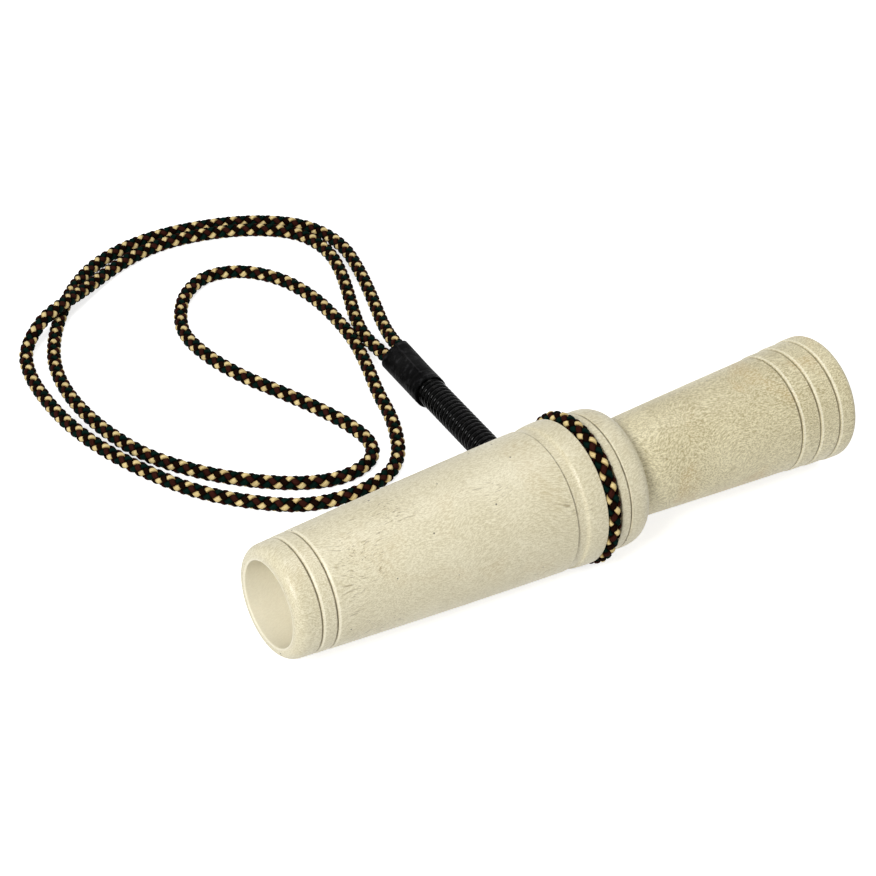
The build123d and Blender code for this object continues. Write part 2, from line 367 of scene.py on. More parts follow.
# Enamelled wire and shrunk sleeve
wire_color = (0.001, 0.001, 0.001, 1)
wire_worn_color = (0.012, 0.011, 0.01, 1)
wire_wear_scale = 900
wire_wear_detail = 3
wire_wear_reach = (0.6, 0.78)
wire_haze_scale = 1400
wire_roughness = (0.06, 0.13)
wire_gloss = 0.06
wire_bump_scale = 2200
wire_bump = (0.00003, 0.4)
sleeve_color = (0.001, 0.001, 0.0011, 1)
sleeve_dust_color = (0.024, 0.024, 0.025, 1)
sleeve_dust_scale = 620
sleeve_dust_detail = 4
sleeve_dust_reach = (0.5, 0.8)
sleeve_haze_scale = 300
sleeve_roughness = (0.42, 0.58)
sleeve_gloss = 0.02
sleeve_bump_scale = 900
sleeve_bump_detail = 3
sleeve_bump = (0.00012, 0.5)

# Seals, reed and cork
rubber_color = (0.012, 0.012, 0.012, 1)
rubber_dust_color = (0.035, 0.035, 0.034, 1)
rubber_dust_scale = 700
rubber_dust_detail = 3
rubber_dust_reach = (0.45, 0.75)
rubber_roughness = 0.6
rubber_bump_scale = 2500
rubber_bump = (0.00004, 0.4)
film_dark = (0.78, 0.79, 0.77, 1)
film_light = (0.86, 0.86, 0.83, 1)
film_stretch = (0.1, 1, 1)
film_scale = 1800
film_roughness = (0.22, 0.36)
film_clearness = 0.35
film_bump = (0.00002, 0.3)
cork_dark = (0.42, 0.24, 0.11, 1)
cork_light = (0.56, 0.36, 0.18, 1)
cork_scale = 900
cork_cell_reach = (0.1, 0.6)
cork_speck_color = (0.16, 0.08, 0.035, 1)
cork_speck_scale = 1100
cork_speck_detail = 3
cork_speck_reach = (0.55, 0.7)
cork_roughness = 0.85
cork_bump = (0.0002, 0.6)


# Camera, light and floor

def add_object(name, data):
    piece = bpy.data.objects.new(name, data)
    bpy.context.scene.collection.objects.link(piece)
    return piece


def camera_back():
    """Direction from the object to the camera."""
    azimuth = math.radians(camera_azimuth)
    elevation = math.radians(camera_elevation)
    level = math.cos(elevation)
    return Vector((math.sin(azimuth) * level, -math.cos(azimuth) * level, math.sin(elevation)))


def add_camera():
    data = bpy.data.cameras.new("camera")
    data.sensor_width = sensor_width
    data.lens = focal_pixels / image_width * sensor_width
    camera = add_object("camera", data)
    camera.location = Vector(camera_place) * MM
    camera.rotation_euler = (-camera_back()).to_track_quat("-Z", "Y").to_euler()
    bpy.context.scene.camera = camera


def add_area_light(name, place, size, power):
    data = bpy.data.lights.new(name, "AREA")
    data.shape = "DISK"
    data.size = size
    data.energy = power
    light = add_object(name, data)
    light.location = place
    light.rotation_euler = (Vector(light_target) - Vector(place)).to_track_quat("-Z", "Y").to_euler()


# Node graphs

class Graph:
    """A material's node graph, written in few words."""

    def __init__(self, name):
        self.material = bpy.data.materials.new(name)
        self.material.use_nodes = True
        self.tree = self.material.node_tree
        self.shader = self.tree.nodes["Principled BSDF"]

    def node(self, kind, **settings):
        made = self.tree.nodes.new("ShaderNode" + kind)
        for key, value in settings.items():
            setattr(made, key, value)
        return made

    def put(self, socket, value):
        """Link an output to a socket, or set the socket's own value."""
        if isinstance(value, bpy.types.NodeSocket):
            self.tree.links.new(value, socket)
        else:
            socket.default_value = value

    def coordinates(self, kind, stretch):
        return self.stretched(self.node("TexCoord").outputs[kind], stretch)

    def place(self):
        """Place in the frame, in metres."""
        return self.coordinates("Object", (1, 1, 1))

    def stretched(self, vector, stretch):
        mapping = self.node("Mapping")
        self.put(mapping.inputs["Vector"], vector)
        mapping.inputs["Scale"].default_value = stretch
        return mapping.outputs["Vector"]

    def axes(self, vector):
        """The X and Y of a vector."""
        parts = self.node("SeparateXYZ")
        self.put(parts.inputs[0], vector)
        return parts.outputs["X"], parts.outputs["Y"]

    def vector_math(self, operation, first, second):
        made = self.node("VectorMath", operation=operation)
        self.put(made.inputs[0], first)
        self.put(made.inputs[1], second)
        return made.outputs[0]

    def noise(self, vector, scale, detail=2.0, output="Fac"):
        made = self.node("TexNoise")
        self.put(made.inputs["Vector"], vector)
        made.inputs["Scale"].default_value = scale
        made.inputs["Detail"].default_value = detail
        return made.outputs[output]

    def flowing(self, vector, scale, reach):
        """Coordinates pushed about by slow noise, so that what follows them runs in curves."""
        push = self.noise(vector, scale, 1.0, "Color")
        centred = self.vector_math("SUBTRACT", push, noise_middle)
        return self.vector_math("ADD", vector, self.vector_math("MULTIPLY", centred, (reach, reach, reach)))

    def cells(self, vector, scale):
        """Distance from the nearest point of a cell pattern, and a random colour for each cell."""
        made = self.node("TexVoronoi")
        self.put(made.inputs["Vector"], vector)
        made.inputs["Scale"].default_value = scale
        return made.outputs["Distance"], made.outputs["Color"]

    def math(self, operation, first, second):
        made = self.node("Math", operation=operation)
        self.put(made.inputs[0], first)
        self.put(made.inputs[1], second)
        return made.outputs[0]

    def plus(self, first, second):
        return self.math("ADD", first, second)

    def minus(self, first, second):
        return self.math("SUBTRACT", first, second)

    def times(self, first, second):
        return self.math("MULTIPLY", first, second)

    def fade(self, value, reach, low=0.0, high=1.0):
        """Smooth step from low to high between the two values of reach."""
        made = self.node("MapRange", interpolation_type="SMOOTHSTEP")
        for socket, number in zip(made.inputs, (value, *reach, low, high)):
            self.put(socket, number)
        return made.outputs["Result"]

    def mix(self, share, first, second):
        made = self.node("Mix", data_type="RGBA")
        self.put(made.inputs[0], share)
        self.put(made.inputs[mix_first_color], first)
        self.put(made.inputs[mix_second_color], second)
        return made.outputs[mix_color_result]

    def color(self, value):
        self.put(self.shader.inputs["Base Color"], value)

    def roughness(self, value):
        self.put(self.shader.inputs["Roughness"], value)

    def gloss(self, level):
        self.shader.inputs["Specular IOR Level"].default_value = level

    def bump(self, height, distance, strength):
        """Relief of this height in metres."""
        made = self.node("Bump")
        made.inputs["Distance"].default_value = distance
        made.inputs["Strength"].default_value = strength
        self.put(made.inputs["Height"], height)
        self.put(self.shader.inputs["Normal"], made.outputs["Normal"])


def seen_directly(graph_tree):
    """Share that is 1 for a ray from the camera, also by way of a mirror or glass."""
    path = graph_tree.nodes.new("ShaderNodeLightPath")
    share = path.outputs["Is Camera Ray"]
    for name in ("Is Glossy Ray", "Is Transmission Ray"):
        larger = graph_tree.nodes.new("ShaderNodeMath")
        larger.operation = "MAXIMUM"
        graph_tree.links.new(share, larger.inputs[0])
        graph_tree.links.new(path.outputs[name], larger.inputs[1])
        share = larger.outputs[0]
    return share


def add_world():
    world = bpy.data.worlds.new("studio")
    bpy.context.scene.world = world
    world.use_nodes = True
    tree = world.node_tree
    soft = tree.nodes["Background"]
    soft.inputs["Color"].default_value = white
    soft.inputs["Strength"].default_value = ambient_level
    backdrop = tree.nodes.new("ShaderNodeBackground")
    backdrop.inputs["Color"].default_value = white
    choose = tree.nodes.new("ShaderNodeMixShader")
    tree.links.new(seen_directly(tree), choose.inputs[0])
    tree.links.new(soft.outputs[0], choose.inputs[1])
    tree.links.new(backdrop.outputs[0], choose.inputs[2])
    tree.links.new(choose.outputs[0], tree.nodes["World Output"].inputs["Surface"])


def floor_material():
    """Pale matt floor that looks white from the camera and still takes a shadow."""
    graph = Graph("floor")
    grain = graph.noise(graph.place(), floor_grain_scale)
    graph.color(graph.mix(grain, floor_color, floor_speck))
    graph.roughness(floor_roughness)
    glow = graph.times(seen_directly(graph.tree), floor_glow)
    graph.shader.inputs["Emission Color"].default_value = white
    graph.put(graph.shader.inputs["Emission Strength"], glow)
    return graph.material


def add_floor():
    mesh = bpy.data.meshes.new("floor")
    near, far = -floor_half, floor_half
    corners = [(near, near, 0), (far, near, 0), (far, far, 0), (near, far, 0)]
    mesh.from_pydata(corners, [], [(0, 1, 2, 3)])
    mesh.materials.append(floor_material())
    add_object("floor", mesh)


# Resin materials

def frame_x(station):
    """Place along the call in the frame, in metres."""
    return (station - call_length / 2) * MM


def frame_reach(stations):
    return [frame_x(station) for station in stations]


def in_metres(distances):
    return [distance * MM for distance in distances]


def axis_distance(graph, plain):
    """Distance from the call's axis."""
    offset = graph.vector_math("SUBTRACT", plain, (0, 0, axis_height * MM))
    length = graph.node("VectorMath", operation="LENGTH")
    graph.put(length.inputs[0], graph.vector_math("MULTIPLY", offset, (0, 1, 1)))
    return length.outputs["Value"]


def near_stations(graph, along, stations, reach):
    """Share that is 1 at these stations and fades out between the two distances of reach from them."""
    nearest = far_away
    for station in stations:
        offset = graph.minus(along, frame_x(station))
        nearest = graph.math("MINIMUM", nearest, graph.math("ABSOLUTE", offset, 0.0))
    return graph.fade(nearest, in_metres(reach), 1.0, 0.0)


def hair_places(graph, plain, along):
    """Share of the surface where dark hairs show: in patches, with more of them near the mouth."""
    near_mouth = graph.fade(along, frame_reach(mouth_hair_reach), mouth_hair_gain, 0.0)
    patches = graph.plus(near_mouth, graph.noise(plain, hair_patch_scale))
    patches = graph.fade(patches, hair_patch_reach)
    return graph.times(patches, graph.fade(along, frame_reach(hair_start)))


def pit_places(graph, plain):
    """Share that is 1 in small round pits, which are the points of some of a pattern's cells."""
    near, kind = graph.cells(plain, pit_scale)
    return graph.times(graph.fade(near, pit_edge, 1.0, 0.0), graph.fade(kind, pit_choice))


def resin_material(name, light, dark, bore, dirt_and_shade_stations, highlight_stations,
                   flow_reach, hair_share, stain_share):
    """Satin cream resin: fine grain and swirls, dark hairs, faint stains and pits, with painted light in its
    bore, painted highlights on the shoulders of its lines, and dirt with painted shade in its lines.
    """
    graph = Graph(name)
    plain = graph.place()
    along = graph.axes(plain)[0]
    radius = axis_distance(graph, plain)
    flow = graph.flowing(plain, flow_scale, flow_reach)
    cloud = graph.fade(graph.noise(plain, cloud_scale, cloud_detail), middle_reach)
    grain = graph.fade(graph.noise(plain, grain_scale), grain_reach)
    swirl = graph.fade(graph.noise(graph.stretched(flow, swirl_stretch), swirl_scale, 1.0), swirl_reach)
    hair = graph.fade(graph.noise(graph.stretched(flow, hair_stretch), hair_scale, 1.0), hair_reach)
    hair = graph.times(hair, hair_places(graph, plain, along))
    stain = graph.fade(graph.noise(flow, stain_scale, stain_detail), stain_reach)
    stain = graph.times(stain, graph.fade(swirl, stain_swirl_reach, 1.0, stain_on_swirls))
    pits = pit_places(graph, plain)
    tone = graph.plus(graph.times(grain, grain_tone), graph.times(swirl, swirl_tone))
    tone = graph.plus(tone, graph.times(cloud, cloud_tone))
    base = graph.mix(tone, dark, light)
    base = graph.mix(graph.times(stain, stain_share), base, stain_color)
    base = graph.mix(graph.times(hair, hair_share), base, hair_color)
    bore_edge = in_metres([bore + distance for distance in painted_bore_light_reach])
    # Painted light: the bore is made paler, as if lit, fading out towards its rim.
    base = graph.mix(graph.fade(radius, bore_edge, painted_bore_light_share, 0.0), base, painted_bore_light_color)
    outside = graph.fade(radius, in_metres(outside_reach))
    # Painted highlight: a paler band on the round shoulder just past each of these lines, outside only.
    painted_highlight = near_stations(graph, along, [station + painted_highlight_after for station in highlight_stations], painted_highlight_reach)
    painted_highlight = graph.times(painted_highlight, graph.fade(outside, whole_reach, 0.0, painted_highlight_share))
    base = graph.mix(painted_highlight, base, painted_highlight_color)
    # Dirt and painted shade: a darker brown band in each turned line, in patches, outside the bore only.
    dirt_and_shade = near_stations(graph, along, [station - dirt_and_shade_before for station in dirt_and_shade_stations], dirt_and_shade_reach)
    patches = graph.fade(graph.noise(plain, dirt_and_shade_patch_scale), dirt_and_shade_patch_reach, *dirt_and_shade_shares)
    dirt_and_shade = graph.times(dirt_and_shade, graph.times(outside, patches))
    base = graph.mix(dirt_and_shade, base, dirt_and_shade_color)
    graph.color(graph.mix(pits, base, pit_color))
    graph.roughness(graph.fade(grain, whole_reach, *resin_roughness))
    relief = graph.plus(graph.times(grain, grain_relief), graph.times(swirl, swirl_relief))
    relief = graph.minus(relief, graph.times(hair, hair_relief))
    graph.bump(graph.minus(relief, pits), *resin_bump)
    return graph.material


def barrel_material():
    foot_line = taper_stations[2] + foot_line_width / 2
    return resin_material(
        "resin_barrel", barrel_light, barrel_dark, mouth_bore_radius,
        dirt_and_shade_stations=(*mouth_line_stations, foot_line, band_line_station),
        highlight_stations=mouth_line_stations,
        flow_reach=barrel_flow, hair_share=barrel_hair_share, stain_share=barrel_stain_share)


def insert_material():
    return resin_material(
        "resin_insert", insert_light, insert_dark, exhaust_bore_radius,
        dirt_and_shade_stations=ring_stations, highlight_stations=ring_stations,
        flow_reach=insert_flow, hair_share=insert_hair_share, stain_share=insert_stain_share)


def board_material():
    return resin_material(
        "resin_board", barrel_light, barrel_dark, no_bore,
        dirt_and_shade_stations=(), highlight_stations=(),
        flow_reach=board_flow, hair_share=board_hair_share, stain_share=board_stain_share)


# Materials of the cord, the keeper and the small pieces

def yarn_material(name, way, shade, light):
    """Braided yarn with fine filaments, with painted shade towards its edges and where it dips under another
    yarn.
    Its UV runs along and across the yarn in mm, and way is 1 or -1 for its turn."""
    graph = Graph(name)
    filaments = graph.noise(graph.coordinates("UV", filament_stretch), filament_scale)
    patches = graph.noise(graph.place(), yarn_patch_scale)
    along, across = graph.axes(graph.node("TexCoord").outputs["UV"])
    # Painted shade: the yarn darkens towards its edges and where it dips under a crossing yarn.
    middle = graph.fade(graph.math("PINGPONG", across, yarn_spacing / 2), yarn_edge, 1.0, yarn_edge_painted_shade)
    wave = graph.math("COSINE", graph.times(along, crest_turn), 0.0)
    painted_dip_shade = graph.fade(graph.times(wave, way), crest_reach, yarn_dip_painted_shade, 1.0)
    middle = graph.times(middle, painted_dip_shade)
    filament_tone = graph.fade(filaments, middle_reach, filament_share, 1.0)
    patch_tone = graph.fade(patches, middle_reach, yarn_patch_share, 1.0)
    share = graph.times(filament_tone, patch_tone)
    graph.color(graph.mix(graph.times(share, middle), shade, light))
    graph.roughness(graph.fade(filaments, middle_reach, *yarn_roughness))
    graph.gloss(yarn_gloss)
    graph.bump(filaments, *yarn_bump)
    return graph.material


def wire_material():
    """Gloss black enamel with small worn spots."""
    graph = Graph("black_wire")
    plain = graph.place()
    wear = graph.fade(graph.noise(plain, wire_wear_scale, wire_wear_detail), wire_wear_reach)
    graph.color(graph.mix(wear, wire_color, wire_worn_color))
    graph.roughness(graph.fade(graph.noise(plain, wire_haze_scale), middle_reach, *wire_roughness))
    graph.gloss(wire_gloss)
    graph.bump(graph.noise(plain, wire_bump_scale), *wire_bump)
    return graph.material


def sleeve_material():
    """Soft black shrunk plastic with dusty mottling."""
    graph = Graph("black_sleeve")
    plain = graph.place()
    dust = graph.fade(graph.noise(plain, sleeve_dust_scale, sleeve_dust_detail), sleeve_dust_reach)
    graph.color(graph.mix(dust, sleeve_color, sleeve_dust_color))
    graph.roughness(graph.fade(graph.noise(plain, sleeve_haze_scale), middle_reach, *sleeve_roughness))
    graph.gloss(sleeve_gloss)
    graph.bump(graph.noise(plain, sleeve_bump_scale, sleeve_bump_detail), *sleeve_bump)
    return graph.material


def rubber_material():
    """Matt black rubber with a little dust."""
    graph = Graph("seal_rubber")
    plain = graph.place()
    dust = graph.fade(graph.noise(plain, rubber_dust_scale, rubber_dust_detail), rubber_dust_reach)
    graph.color(graph.mix(dust, rubber_color, rubber_dust_color))
    graph.roughness(rubber_roughness)
    graph.bump(graph.noise(plain, rubber_bump_scale), *rubber_bump)
    return graph.material


def film_material():
    """Frosted polyester film with lengthwise streaks."""
    graph = Graph("reed_film")
    streaks = graph.noise(graph.coordinates("Object", film_stretch), film_scale)
    graph.color(graph.mix(streaks, film_dark, film_light))
    graph.roughness(graph.fade(streaks, middle_reach, *film_roughness))
    graph.shader.inputs["Transmission Weight"].default_value = film_clearness
    graph.bump(streaks, *film_bump)
    return graph.material


def cork_material():
    """Bare cork: small cells with dark specks."""
    graph = Graph("cork")
    plain = graph.place()
    near = graph.cells(plain, cork_scale)[0]
    specks = graph.fade(graph.noise(plain, cork_speck_scale, cork_speck_detail), cork_speck_reach)
    base = graph.mix(graph.fade(near, cork_cell_reach), cork_dark, cork_light)
    graph.color(graph.mix(specks, base, cork_speck_color))
    graph.roughness(cork_roughness)
    graph.bump(near, *cork_bump)
    return graph.material


def make_yarns():
    """The braid's four yarns, two for each way round."""
    return [
        yarn_material("yarn_gold", 1, gold_shade, gold_light),
        yarn_material("yarn_green", 1, green_shade, green_light),
        yarn_material("yarn_maroon", -1, maroon_shade, maroon_light),
        yarn_material("yarn_black", -1, black_shade, black_light),
    ]


# Turned bodies

def turned_radius(station, stations, radii):
    """Radius on the smooth curve through three stations."""
    total = 0.0
    for own, radius in zip(stations, radii):
        share = 1.0
        for other in stations:
            if other != own:
                share *= (station - other) / (own - other)
        total += radius * share
    return total


def line_corners(station, before, after, shoulder=line_shoulder):
    """Corners of a fine turned line between surfaces of these radii before and after it."""
    left = station - line_width / 2
    right = station + line_width / 2
    floor = before - line_depth
    return [
        (left, before, line_edge_round),
        (left, floor, line_floor_round),
        (right, floor, line_floor_round),
        (right, after, shoulder),
    ]


def curve_corners(start, end, step, stations, radii):
    """Points along a smooth turned curve, which need no rounding."""
    count = max(1, round((end - start) / step))
    places = [start + (end - start) * index / count for index in range(count + 1)]
    return [(place, turned_radius(place, stations, radii), 0.0) for place in places]


def rounded(corners):
    """Closed outline through (station, radius, rounding) corners, each cut back by its rounding.
    A rounding of two numbers is cut back by the first before the corner and by the second after it."""
    outline = []
    for index, (station, radius, rounding) in enumerate(corners):
        corner = Vector((station, radius))
        if rounding == 0:
            outline.append(corner)
            continue
        reach_before, reach_after = rounding if isinstance(rounding, tuple) else (rounding, rounding)
        before = Vector(corners[index - 1][:2]) - corner
        after = Vector(corners[(index + 1) % len(corners)][:2]) - corner
        start = before.normalized() * reach_before
        end = after.normalized() * reach_after
        if before.length > 2 * (reach_before + corner_hold):
            outline.append(corner + before.normalized() * (reach_before + corner_hold))
        for step in range(corner_steps + 1):
            turn = math.pi / 2 * step / corner_steps
            outline.append(corner + start * (1 - math.sin(turn)) + end * (1 - math.cos(turn)))
        if after.length > 2 * (reach_after + corner_hold):
            outline.append(corner + after.normalized() * (reach_after + corner_hold))
    return outline


def ring_faces(rings, sides, closed):
    """Faces between rings of points, and back to the first ring where it is closed."""
    ring = np.arange(rings if closed else rings - 1)[:, None] * sides
    side = np.arange(sides)[None, :]
    following = (side + 1) % sides
    upper = (ring + sides) % (rings * sides)
    faces = np.stack([ring + side, ring + following, upper + following, upper + side], axis=-1)
    return faces.reshape(-1, 4)


def mesh_piece(name, points, faces, materials):
    """Smooth piece from points in metres."""
    mesh = bpy.data.meshes.new(name)
    mesh.from_pydata(np.asarray(points).tolist(), [], [list(face) for face in faces])
    for material in materials:
        mesh.materials.append(material)
    mesh.polygons.foreach_set("use_smooth", [True] * len(mesh.polygons))
    mesh.update()
    return add_object(name, mesh)


def turned_piece(name, corners, material):
    """Body turned about the call's axis from a closed outline."""
    outline = np.array([tuple(point) for point in rounded(corners)])
    angles = np.arange(turned_segments) * 2 * math.pi / turned_segments
    x = np.repeat(outline[:, 0] - call_length / 2, turned_segments)
    y = np.outer(outline[:, 1], np.cos(angles)).ravel()
    z = np.outer(outline[:, 1], np.sin(angles)).ravel() + axis_height
    faces = ring_faces(len(outline), turned_segments, True)
    return mesh_piece(name, np.stack([x, y, z], axis=1) * MM, faces, [material])


def add_barrel():
    taper = (taper_stations, taper_radii)
    foot = taper_stations[2]
    foot_floor = taper_radii[2] - foot_line_depth
    corners = [(0, mouth_bore_radius, bore_edge_round), (0, lip_radius, (lip_face, lip_side))]
    for station in mouth_line_stations:
        middle = turned_radius(station, *taper)
        corners += line_corners(station, middle - mouth_line_step / 2, middle + mouth_line_step / 2)
    corners += curve_corners(taper_first, foot - 2 * foot_line_width, taper_step, *taper)
    corners += [
        (foot, taper_radii[2], foot_edge_round),
        (foot + foot_line_width / 2, foot_floor, inner_edge_round),
        (foot + cove_start, foot_floor + cove_rise, inner_edge_round),
        (*cove_corner, cove_round),
        (*collar_edge, collar_edge_round),
        (collar_full_station, collar_radius, collar_full_round),
        (groove_start, collar_radius, groove_edge_round),
        (groove_start, groove_radius, groove_edge_round),
        (groove_end, groove_radius, groove_edge_round),
        (groove_end, band_radius, groove_edge_round),
    ]
    corners += line_corners(band_line_station, band_radius, band_radius, band_line_shoulder)
    corners += [
        (barrel_length, band_radius, (band_shoulder_length, band_radius - band_face_radius)),
        (barrel_length, socket_radius, socket_edge_round),
        (mouth_bore_length, socket_radius, inner_edge_round),
        (mouth_bore_length, mouth_bore_radius, inner_edge_round),
    ]
    barrel = turned_piece("barrel_shell", corners, barrel_material())
    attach(barrel, "barrel")
    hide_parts("barrel")


def tenon_corners():
    """Corners of the tenon, with its two seal grooves, up to the insert's shoulder."""
    corners = [
        (tenon_start, board_socket_radius, inner_edge_round),
        (tenon_start, tenon_radius, tenon_edge_round),
    ]
    for station in seal_stations:
        for place in (station - seal_groove_half_width, station + seal_groove_half_width):
            levels = [tenon_radius, seal_groove_radius]
            if place > station:
                levels.reverse()
            corners += [(place, level, inner_edge_round) for level in levels]
    return corners + [(barrel_length + seat_gap, tenon_radius, inner_edge_round)]


def add_insert():
    corners = tenon_corners()
    corners.append((barrel_length + seat_gap, flare_radii[0], shoulder_round))
    corners += curve_corners(barrel_length + flare_step, ring_stations[0] - flare_step, flare_step,
                             flare_stations, flare_radii)
    radius = flare_radii[2]
    for station in ring_stations:
        corners += line_corners(station, radius, radius + ring_step)
        radius += ring_step + ring_rise
    corners += [
        (call_length, radius, exhaust_round),
        (call_length, exhaust_bore_radius, exhaust_edge_round),
        (board_socket_end, exhaust_bore_radius, inner_edge_round),
        (board_socket_end, board_socket_radius, inner_edge_round),
    ]
    insert = turned_piece("insert_shell", corners, insert_material())
    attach(insert, "insert")
    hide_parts("insert")


# Braided cord

def spline_line(route):
    """Points along the smooth line that a route of control points gives, in mm."""
    curve = bpy.data.curves.new("cord_line", "CURVE")
    curve.dimensions = "3D"
    curve.resolution_u = spline_steps
    spline = curve.splines.new("NURBS")
    spline.points.add(len(route) - 1)
    for point, place in zip(spline.points, route):
        point.co = (*place, 1.0)
    spline.order_u = 3
    spline.use_endpoint_u = True
    holder = add_object("cord_line", curve)
    mesh = bpy.data.meshes.new_from_object(holder)
    line = np.array([tuple(vertex.co) for vertex in mesh.vertices])
    bpy.data.objects.remove(holder)
    bpy.data.curves.remove(curve)
    bpy.data.meshes.remove(mesh)
    return line


class CordLine:
    """A cord's centreline with a frame along it, so that a yarn can be laid round it."""

    def __init__(self, line, side_hint, braid_turn=0.0):
        steps = np.linalg.norm(np.diff(line, axis=0), axis=1)
        self.reach = np.concatenate([[0.0], np.cumsum(steps)])
        self.length = self.reach[-1]
        self.braid_turn = math.radians(braid_turn)
        tangent = np.gradient(line, axis=0)
        tangent /= np.linalg.norm(tangent, axis=1)[:, None]
        side = np.cross(tangent, np.array(side_hint, float))
        side /= np.linalg.norm(side, axis=1)[:, None]
        self.line = line
        self.tangent = tangent
        self.side = side
        self.up = np.cross(side, tangent)

    def at(self, values, distance):
        return np.stack([np.interp(distance, self.reach, values[:, axis]) for axis in range(3)], axis=-1)

    def place(self, distance, angle, radius):
        """Points at a distance along the cord, an angle round it and a radius from its centre."""
        beyond = distance - np.clip(distance, 0, self.length)
        around = np.cos(angle)[..., None] * self.at(self.side, distance)
        around += np.sin(angle)[..., None] * self.at(self.up, distance)
        center = self.at(self.line, distance) + beyond[..., None] * self.at(self.tangent, distance)
        return center + radius[..., None] * around


def squared(value):
    """Flatter, wider form of a circle's sine or cosine."""
    return np.sign(value) * np.abs(value) ** yarn_squareness


def yarn_points(cord, stretch, way, number, size):
    """Rings of points of one yarn, and its place along and across in mm. way is 1 or -1 for its turn."""
    count = round((stretch[1] - stretch[0]) / yarn_step) + 1
    distance = np.linspace(*stretch, count)
    turn = 2 * math.pi * distance / braid_pitch
    shrink = size(distance)
    width = gold_width if way == 1 and number % 2 == 0 else yarn_width
    middle = cord_diameter / 2 - yarn_lift - yarn_thickness / 2
    wave = np.tanh(yarn_hold * np.cos(yarns_each_way * turn)) / math.tanh(yarn_hold)
    radius = middle + way * yarn_lift * wave
    around_radius = cord_diameter / 2 - yarn_thickness / 2
    slope = math.atan(2 * math.pi * around_radius / braid_pitch)
    ring = np.arange(yarn_sides) * 2 * math.pi / yarn_sides
    across = width / 2 * squared(np.cos(ring))
    rise = yarn_thickness / 2 * squared(np.sin(ring))
    angle = cord.braid_turn + way * turn[:, None] + 2 * math.pi * number / yarns_each_way
    angle = angle + way * across * math.cos(slope) / around_radius
    reach = np.clip(distance[:, None] - across * math.sin(slope) * shrink[:, None], 0, cord.length)
    points = cord.place(reach, angle, (radius[:, None] + rise) * shrink[:, None])
    length = np.repeat(distance[:, None], yarn_sides, axis=1)
    sideways = np.repeat(across[None, :] + yarn_spacing * number, count, axis=0)
    return points, np.stack([length, sideways], axis=-1)


def end_faces(first, rings, sides):
    """Caps of a tube whose points start at first."""
    near = list(range(first + sides - 1, first - 1, -1))
    far = list(range(first + (rings - 1) * sides, first + rings * sides))
    return [near, far]


def core_points(cord, stretch, size):
    """Rings of points of the core under the yarns, and their place along and across."""
    count = round((stretch[1] - stretch[0]) / braid_pitch * core_rings) + 2
    distance = np.repeat(np.linspace(*stretch, count)[:, None], yarn_sides, axis=1)
    around = np.repeat((np.arange(yarn_sides) * 2 * math.pi / yarn_sides)[None, :], count, axis=0)
    points = cord.place(distance, around, core_share * cord_diameter / 2 * size(distance))
    return points, np.stack([distance, around], axis=-1)


def smooth(share):
    """Smooth step from 0 to 1."""
    share = np.clip(share, 0, 1)
    return share * share * (3 - 2 * share)


def full_size(distance):
    return np.ones(np.shape(distance))


def braided_piece(name, cord, yarns, stretch, size=full_size):
    """Braid of yarns over a core, along a stretch of a cord. The materials are two for each way."""
    tubes = []
    for way, pair in ((1, (0, 1)), (-1, (2, 3))):
        for number in range(yarns_each_way):
            tubes.append((*yarn_points(cord, stretch, way, number, size), pair[number % 2]))
    tubes.append((*core_points(cord, stretch, size), 3))
    points, coordinates, faces, chosen = [], [], [], []
    total = 0
    for rings, place, material in tubes:
        points.append(rings.reshape(-1, 3))
        coordinates.append(place.reshape(-1, 2))
        made = (ring_faces(len(rings), yarn_sides, False) + total).tolist()
        made += end_faces(total, len(rings), yarn_sides)
        faces += made
        chosen += [material] * len(made)
        total += len(rings) * yarn_sides
    piece = mesh_piece(name, np.concatenate(points) * MM, faces, yarns)
    piece.data.polygons.foreach_set("material_index", chosen)
    layer = piece.data.uv_layers.new(name="yarn")
    corner = np.empty(len(piece.data.loops), dtype=np.int32)
    piece.data.loops.foreach_get("vertex_index", corner)
    layer.data.foreach_set("uv", np.concatenate(coordinates)[corner].ravel().astype(np.float32))
    return piece


keeper_axis = (keeper_mouth - keeper_root).normalized()
keeper_across = keeper_axis.cross(Vector((0, 0, 1))).normalized()
keeper_rise = keeper_across.cross(keeper_axis)
keeper_length = (keeper_mouth - keeper_root).length


def keeper_point(offset, angle, distance):
    """Point at an offset from the keeper's axis, turned by an angle from straight up."""
    turn = math.radians(angle)
    out = keeper_rise * math.cos(turn) + keeper_across * math.sin(turn)
    return keeper_root + keeper_axis * distance + out * offset


def neck_route():
    points = [point if len(point) == 3 else (*point, cord_height) for point in route_points]
    reaches = (strand_end, keeper_length + exit_run)
    left = [keeper_point(-strand_offset, strand_twist, reach) for reach in reaches]
    right = [keeper_point(strand_offset, strand_twist, reach) for reach in reversed(reaches)]
    return left + points + right


def declare_cord(cord, stretch):
    ends = cord.at(cord.line, np.array(stretch))


def add_neck_cord(yarns):
    """The free cord, and its two tails, on which the keeper slides, as pieces of their own."""
    cord = CordLine(spline_line(neck_route()), (0, 0, 1))
    last = cord.length - tail_length
    body = (tail_length, last)
    piece = braided_piece("neck_braid", cord, yarns, body)
    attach(piece, "lanyard")
    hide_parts("neck_cord")
    declare_cord(cord, body)
    tails = [
        ("left_tail", (0, tail_length), tail_length),
        ("right_tail", (last, cord.length), last),
    ]
    for name, stretch, join in tails:
        tail = braided_piece(name, cord, yarns, stretch)
        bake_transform(tail)
        declare_cord(cord, stretch)


def squeezed_ends(length):
    """Size of the loop's braid, which narrows where it slips into the spring."""
    def size(distance):
        share = smooth(np.minimum(distance, length - distance) / squeeze_length)
        return squeezed_share + (loop_fullness - squeezed_share) * share
    return size


